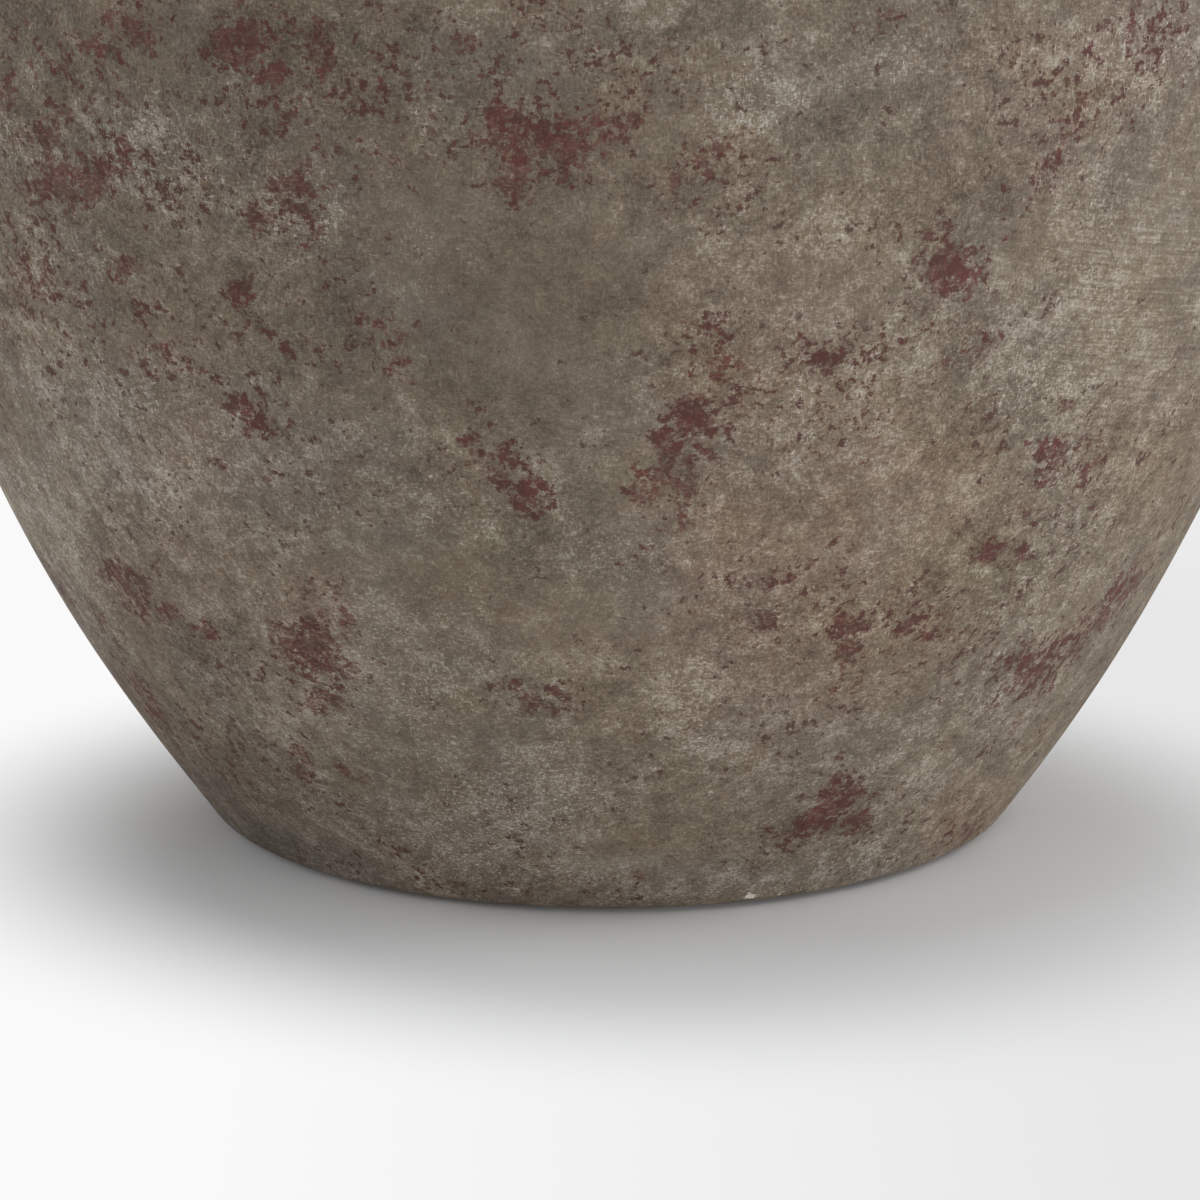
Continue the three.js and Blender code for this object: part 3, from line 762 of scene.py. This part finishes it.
def clay_marks(tree, place):
    """The noises that the finish is worked from, the broad ones first."""

    def noise(size, detail, rough, warp=0.0):
        return put(tree, "ShaderNodeTexNoise", Vector=place, Scale=1 / size, Detail=detail,
                   Roughness=rough, Distortion=warp).outputs["Fac"]

    def fibre(stretch, bend, width=FIBRE_WIDTH, along=place):
        return place_group(tree, fibres, Vector=along, Width=width, Stretch=stretch, Bend=bend)

    sideways = put(tree, "ShaderNodeSeparateXYZ", Vector=place).outputs["X"]
    brush_run = vector_maths(tree, "MULTIPLY_ADD", sideways, BRUSH_SLANT, place)
    return {
        "clouds": noise(CLOUD_SIZE, 3.0, 0.55),
        "hue": noise(HUE_SIZE, 4.0, 0.6),
        "swarm": noise(SPECK_SWARM, 3.0, 0.65),
        "mottle": noise(MOTTLE_SIZE, 6.0, 0.70, 0.3),
        "worn": noise(WORN_SIZE, 6.0, 0.95, 0.2),
        "tint": noise(TINT_SIZE, 5.0, 0.75),
        "grain": noise(GRAIN_SIZE, 2.0, 0.8),
        "level": fibre((2.6, 2.6, 1.0), 0.006),
        "upright": fibre((1.0, 1.0, 2.8), 0.008),
        "streak": fibre((14.0, 14.0, 1.0), 0.001, BRUSH_MARK_WIDTH, brush_run),
    }


def washed_clay(tree, field, marks, contrast):
    """The body's colour: a dark wash rubbed off taupe clay and dry-brushed pale, then stained. The pale and
    dark fields also carry painted light and painted shade.
    """
    streaked = times(tree, field["brushed"], maths(tree, "SUBTRACT", marks["streak"], 0.5))
    flecked = summed(tree, -1.43, (marks["worn"], 1.75), (marks["level"], 0.60), (marks["upright"], 0.60),
                     (marks["grain"], 0.65), (marks["tint"], -0.75))
    # the pale and dark fields lift and lower the tone, partly as painted light and painted shade
    tone = summed(tree, -0.0125, (times(tree, flecked, contrast), 1.0), (marks["mottle"], 0.52),
                  (marks["clouds"], 0.35), (field["pale"], 0.15), (field["dark"], -0.17), (streaked, 0.9))
    base = mixed(tree, ranged(tree, marks["hue"], 0.38, 0.62), COOL_TAUPE, OCHRE_TAUPE)
    colour = mixed(tree, ranged(tree, tone, 0.0, 0.5), OLIVE_UMBER, base)
    colour = mixed(tree, ranged(tree, tone, 0.5, 1.0), colour, PALE_LIME)

    warmer = ranged(tree, marks["tint"], 0.50, 0.70, 0.0, TINT_MOST)
    greener = ranged(tree, marks["tint"], 0.50, 0.30, 0.0, TINT_MOST)
    for amount, stain in ((field["russet"], RUSSET_STAIN), (field["ash"], ASH_STAIN),
                          (field["ochre"], OCHRE_STAIN), (warmer, RUSSET_STAIN), (greener, OLIVE_STAIN)):
        colour = mixed(tree, amount, colour, stain, "MULTIPLY")
    return colour


def make_clay():
    """Matte clay, brushed with a dark wash, dry-brushed pale, with oxide red showing in patches. Its pale
    and dark patches hold painted light and painted shade too.
    """
    material, tree, shader = new_material("antiqued_clay")
    place = put(tree, "ShaderNodeTexCoord").outputs["Object"]
    field = {kind: put(tree, "ShaderNodeAttribute", {"attribute_name": kind}).outputs["Fac"]
             for kind in (*seen, "rubbed", "patina")}
    marks = clay_marks(tree, place)
    contrast = summed(tree, 1.0, (field["smooth"], -0.42), (field["crisp"], 0.22))

    def flakes(value, **how):
        return place_group(tree, ragged, Field=value, Vector=place, **how)

    colour = washed_clay(tree, field, marks, contrast)

    specked = summed(tree, -0.71, (marks["swarm"], 1.6), (field["oxide"], 0.52), (field["smooth"], -0.25),
                     (field["crisp"], 0.12))
    specks = flakes(specked, Fleck=0.0038, Break_Up=3.7, Fine=0.0013, Fray=0.9, Level=0.55, Softness=0.27)
    speck_tone = mixed(tree, ranged(tree, field["oxide"], 0.0, 0.35), SPECK_BROWN, SPECK_RED)
    colour = mixed(tree, times(tree, specks, 0.90), colour, speck_tone)

    # Oxide red, worn thin in places, with grains of the grey wash left on it
    red = flakes(field["oxide"], Fleck=0.0050, Break_Up=2.7, Fine=0.0016, Fray=1.7, Level=0.58,
                 Softness=0.30)
    red_tone = mixed(tree, ranged(tree, marks["worn"], 0.42, 0.60), OXIDE_DARK, OXIDE_RED)
    grey_grains = ranged(tree, marks["level"], 0.47, 0.66, 1.0, 0.55)
    thinned = times(tree, grey_grains, ranged(tree, marks["tint"], 0.40, 0.62, 1.0, 0.62))
    colour = mixed(tree, times(tree, red, thinned), colour, red_tone)

    # Chalky flecks on the crests of the fibres, fewer on the red and where the wash lies smooth
    crests = maths(tree, "MAXIMUM", ranged(tree, marks["level"], 0.58, 0.70),
                   ranged(tree, marks["upright"], 0.58, 0.70))
    chalky = flakes(field["pale"], Fleck=0.012, Break_Up=2.0, Fine=0.003, Fray=1.0, Level=0.30,
                    Softness=0.80)
    chalk = times(tree, ranged(tree, chalky, 0.0, 1.0, 0.16, 1.0), crests)
    chalk = times(tree, chalk, ranged(tree, red, 0.0, 1.0, 0.85, 0.30))
    chalk = times(tree, chalk, summed(tree, 1.0, (field["smooth"], -0.45), (field["crisp"], 0.10)))
    colour = mixed(tree, chalk, colour, CHALK)

    rubbed = flakes(field["rubbed"], Fleck=0.010, Break_Up=2.2, Fine=0.0016, Fray=1.0, Level=0.62,
                    Softness=0.50)
    colour = mixed(tree, times(tree, rubbed, 0.55), colour, RUBBED_CLAY)
    chip = flakes(field["chip"], Fleck=0.0014, Break_Up=1.4, Fine=0.0006, Fray=0.8, Level=0.50,
                  Softness=0.16)
    colour = mixed(tree, chip, colour, CHIPPED_BODY)

    # The inside and the underside stay bare, with some of the wash clouded over them
    bare = mixed(tree, ranged(tree, marks["mottle"], 0.30, 0.70, 0.0, 0.6), BARE_CLAY, COOL_TAUPE)
    colour = mixed(tree, field["patina"], bare, colour)
    tree.links.new(colour, shader.inputs["Base Color"])
    tree.links.new(ranged(tree, red, 0.0, 1.0, 0.93, 0.82), shader.inputs["Roughness"])
    shader.inputs["Specular IOR Level"].default_value = 0.25

    relief = summed(tree, 0.0, (marks["grain"], 0.8), (chalk, 0.5), (red, -0.25), (marks["mottle"], 1.5))
    relief = summed(tree, times(tree, relief, contrast), (chip, -0.8))
    bump = put(tree, "ShaderNodeBump", Strength=0.6, Distance=RELIEF_DEPTH, Height=relief)
    tree.links.new(bump.outputs["Normal"], shader.inputs["Normal"])
    return material


clay = make_clay()


def clay_piece(name, node, line, closed, outside_rings):
    """A turned clay piece. outside_rings are the places in its line that have the outside's finish."""
    points, faces = turned(line, CORNERS, closed, hand_thrown)
    piece = add_mesh(name, points, faces, clay)
    patina = []
    for index, (radius, _) in enumerate(line):
        count = 1 if radius < ON_AXIS else CORNERS
        patina.extend([1.0 if index in outside_rings else 0.0] * count)
    paint_patches(piece, points, np.array(patina))
    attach(piece, "root")
    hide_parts(node)


def foot_edge_arc():
    """The foot's rubbed edge: an arc from its underside up to the wall's own line."""
    tilt = math.atan(wall_slope(foot_height))
    meets = foot_height + FOOT_EDGE * (1 - math.sin(tilt))
    middle = outer_radius(meets) - FOOT_EDGE * math.cos(tilt)
    sweep = math.pi / 2 - tilt
    turns = [-math.pi / 2 + sweep * i / FOOT_EDGE_STEPS for i in range(FOOT_EDGE_STEPS + 1)]
    return [(middle + FOOT_EDGE * math.cos(a), foot_height + FOOT_EDGE * (1 + math.sin(a))) for a in turns]


ring_inside = FOOT_RADIUS - FOOT_RING_WIDTH
recess_radius = ring_inside - FOOT_RECESS_SLOPE
recess_height = foot_height + FOOT_RECESS
recess_radii = [0, *spread(0, recess_radius, UNDERSIDE_SPACING), recess_radius]
underside_line = [(r, recess_height) for r in recess_radii] + [(ring_inside, foot_height)]
edge_line = foot_edge_arc()
edge_line += [(outer_radius(z), z) for z in spread(edge_line[-1][1], slab_top, OUTSIDE_SPACING)]
slab_seam = seam_line(slab_top)[:-1]
slab_top_line = [(slab_seam[-1][0] * share, slab_top) for share in SLAB_TOP_SHARES]
edge_starts = len(underside_line)
clay_piece("base_slab", "floor_slab", underside_line + edge_line + slab_seam + slab_top_line,
           closed=False, outside_rings=range(edge_starts, edge_starts + len(edge_line) + 1))

# Wall: rings of wall thrown one on another, each with a tongue that sits in the groove of the one
# below. The outside is paddled and scraped smooth, and the inside keeps the throwing rings.
SLIP_GAP = 0.0003
HEEL_FILLET = 0.014
FILLET_STEPS = 7
THROWING_RING_PITCH = 0.011
THROWING_RING_DEPTH = 0.0006
ROWS_IN_A_RIDGE = 4
SHOULDER_SPACING = 0.0022  # closer rows, where the outline turns faster
COLLAR_SPACING = 0.0015


def throwing_ring(height):
    """The inside's ridges, left by the fingers as the wall is drawn up."""
    return THROWING_RING_DEPTH * math.sin(2 * math.pi * height / THROWING_RING_PITCH)


def heel_fillet(low):
    """The clay smoothed by thumb into the corner between wall and floor: a curve, from the top down."""
    seat = low + SLIP_GAP
    corner = inner_radius(low)
    top = inner_radius(low + HEEL_FILLET)
    curve = []
    for i in range(1, FILLET_STEPS + 1):
        t = i / FILLET_STEPS
        radius = (1 - t) ** 2 * top + 2 * t * (1 - t) * corner + t * t * (corner - HEEL_FILLET)
        curve.append((radius, seat + (1 - t) ** 2 * (low + HEEL_FILLET - seat)))
    return curve


def wall_ring(name, node, low, high, spacing):
    """One thrown ring: across the tongue, up the outside, across the groove and down the inside."""
    tongue = seam_line(low, SLIP_GAP)[::-1]
    outside = [(outer_radius(z), z) for z in spread(low, high, spacing)]
    inside_heights = reversed(spread(low, high, THROWING_RING_PITCH / ROWS_IN_A_RIDGE))
    inside = [(inner_radius(z) + throwing_ring(z), z) for z in inside_heights]
    if low == slab_top:
        tongue = tongue[1:]
        inside = [place for place in inside if place[1] > low + HEEL_FILLET] + heel_fillet(low)
    outside_rings = range(len(tongue) - 1, len(tongue) + len(outside) + 1)
    clay_piece(name, node, tongue + outside + seam_line(high) + inside, True, outside_rings)


ring_starts = slab_top
for ring_name, ring_node, row_spacing in (
    ("foot_wall", "foot_section", OUTSIDE_SPACING),
    ("lower_wall", "lower_section", OUTSIDE_SPACING),
    ("belly_wall", "belly_section", OUTSIDE_SPACING),
    ("shoulder_wall", "shoulder_section", SHOULDER_SPACING),
    ("collar_wall", "neck_collar", COLLAR_SPACING),
):
    ring_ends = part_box(ring_node)[1][2]
    wall_ring(ring_name, ring_node, ring_starts, ring_ends, row_spacing)
    ring_starts = ring_ends

# Rim: a thick coil laid on the collar and rolled outwards with a wet leather. Its outside is patinated
# with the rest, and the wash runs over the lip into the mouth.
RIM_ROLL = 0.012
RIM_OVERHANG = 0.015
RIM_CREASE = math.radians(-115)
RIM_STEPS = 40
THROAT_STEPS = 4

roll_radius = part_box("neck_collar")[1][0] + RIM_OVERHANG - RIM_ROLL
roll_height = rim_crest - RIM_ROLL
roll_turns = [RIM_CREASE + (math.pi - RIM_CREASE) * i / RIM_STEPS for i in range(RIM_STEPS + 1)]
roll_line = [(roll_radius + RIM_ROLL * math.cos(a), roll_height + RIM_ROLL * math.sin(a))
             for a in roll_turns]
rim_tongue = seam_line(collar_top, SLIP_GAP)[::-1]
throat_line = np.linspace(roll_line[-1], rim_tongue[0], THROAT_STEPS + 1)[1:-1].tolist()
rim_line = rim_tongue + roll_line + throat_line
clay_piece("rim_roll", "rolled_rim", rim_line, True, range(len(rim_tongue) - 1, len(rim_line)))

# Studio: a plain white floor that runs out of view, a large soft light overhead, a high one at the
# right, low panels at the sides in front and behind, and an even white surround. Past the vase's
# shadow the camera sees the floor as plain white, with a painted shade that dims it a little at the right
# behind the vase.
FLOOR_WHITE = (0.878, 0.896, 0.914)
FLOOR_REACH = 30.0
# The paper's white at the left, and at the right, where it is dimmed as a painted shade behind the vase
PAPER_LEFT = 0.95
PAPER_RIGHT = 0.80
PAINTED_SHADE_ACROSS = (-0.12, 0.16)  # it turns from one to the other between these places
PAINTED_SHADE_ENDS = (0.35, 0.90)  # and is white again this far away
PAPER_CENTRE = (0.018, -0.065, 0)
PAPER_SLANT = (-0.07, 0.08, 0)  # how the shadow's shape leans from left to right
PAPER_STARTS = 0.14
PAPER_PLAIN = 0.26


def make_floor():
    """Matte white where the shadow lies, and plain white paper beyond, dimmed at the right behind the vase
    as a painted shade.
    """
    material, tree, shader = new_material("studio_floor")
    shader.inputs["Base Color"].default_value = (*FLOOR_WHITE, 1)
    shader.inputs["Roughness"].default_value = 1.0
    shader.inputs["Specular IOR Level"].default_value = 0.0
    place = put(tree, "ShaderNodeTexCoord").outputs["Object"]
    sideways = put(tree, "ShaderNodeSeparateXYZ", Vector=place).outputs["X"]
    slanted = vector_maths(tree, "MULTIPLY_ADD", sideways, PAPER_SLANT, place)
    away = put(tree, "ShaderNodeVectorMath", {"operation": "DISTANCE"},
               no_0=slanted, no_1=PAPER_CENTRE).outputs["Value"]
    # painted shade: the paper's white dimmed at the right behind the vase, fading out far away
    painted_shade = times(tree, ranged(tree, sideways, *PAINTED_SHADE_ACROSS), ranged(tree, away, *PAINTED_SHADE_ENDS, 1.0, 0.0))
    paper = put(tree, "ShaderNodeEmission", Strength=ranged(tree, painted_shade, 0.0, 1.0, PAPER_LEFT, PAPER_RIGHT))
    plain = put(tree, "ShaderNodeMapRange", {"interpolation_type": "SMOOTHSTEP"}, Value=away,
                From_Min=PAPER_STARTS, From_Max=PAPER_PLAIN).outputs["Result"]
    rays = put(tree, "ShaderNodeLightPath").outputs
    looking = summed(tree, rays["Is Camera Ray"], (rays["Is Glossy Ray"], 1.0),
                     (rays["Is Transmission Ray"], 1.0))
    blend = put(tree, "ShaderNodeMixShader", no_0=times(tree, plain, looking), no_1=shader.outputs["BSDF"],
                no_2=paper.outputs["Emission"])
    output = next(n for n in tree.nodes if n.type == "OUTPUT_MATERIAL")
    tree.links.new(blend.outputs["Shader"], output.inputs["Surface"])
    return material


floor_corners = [(x * FLOOR_REACH, y * FLOOR_REACH, 0) for x, y in ((-1, -1), (1, -1), (1, 1), (-1, 1))]
floor = add_mesh("studio_floor", floor_corners, [(0, 1, 2, 3)], make_floor())

LIGHTS_AIM = Vector((0, 0, 0.25))


def soft_light(name, place, width, height, power):
    """An area light that points at the middle of the vase."""
    data = bpy.data.lights.new(name, "AREA")
    data.shape = "RECTANGLE"
    data.size = width
    data.size_y = height
    data.energy = power
    light = bpy.data.objects.new(name, data)
    light.location = place
    light.rotation_euler = (LIGHTS_AIM - Vector(place)).to_track_quat("-Z", "Y").to_euler()
    bpy.context.scene.collection.objects.link(light)


soft_light("overhead_light", (-0.05, 0.05, 3.0), 2.0, 2.0, 36)
soft_light("right_high_light", (2.2, -0.9, 2.4), 1.6, 1.6, 17)
soft_light("left_low_light", (-2.3, -2.4, 0.3), 2.4, 0.5, 19)
soft_light("right_low_light", (2.9, -1.6, 0.35), 2.4, 0.6, 52)
soft_light("left_back_light", (-2.6, 0.9, 0.6), 2.0, 0.9, 19)
soft_light("right_back_light", (2.6, 0.9, 0.6), 2.0, 0.9, 11)

world = bpy.data.worlds.new("surround")
world.use_nodes = True
surround = world.node_tree.nodes["Background"]
surround.inputs["Color"].default_value = (1, 1, 1, 1)
surround.inputs["Strength"].default_value = 0.42
bpy.context.scene.world = world
bpy.context.scene.view_settings.view_transform = "Standard"
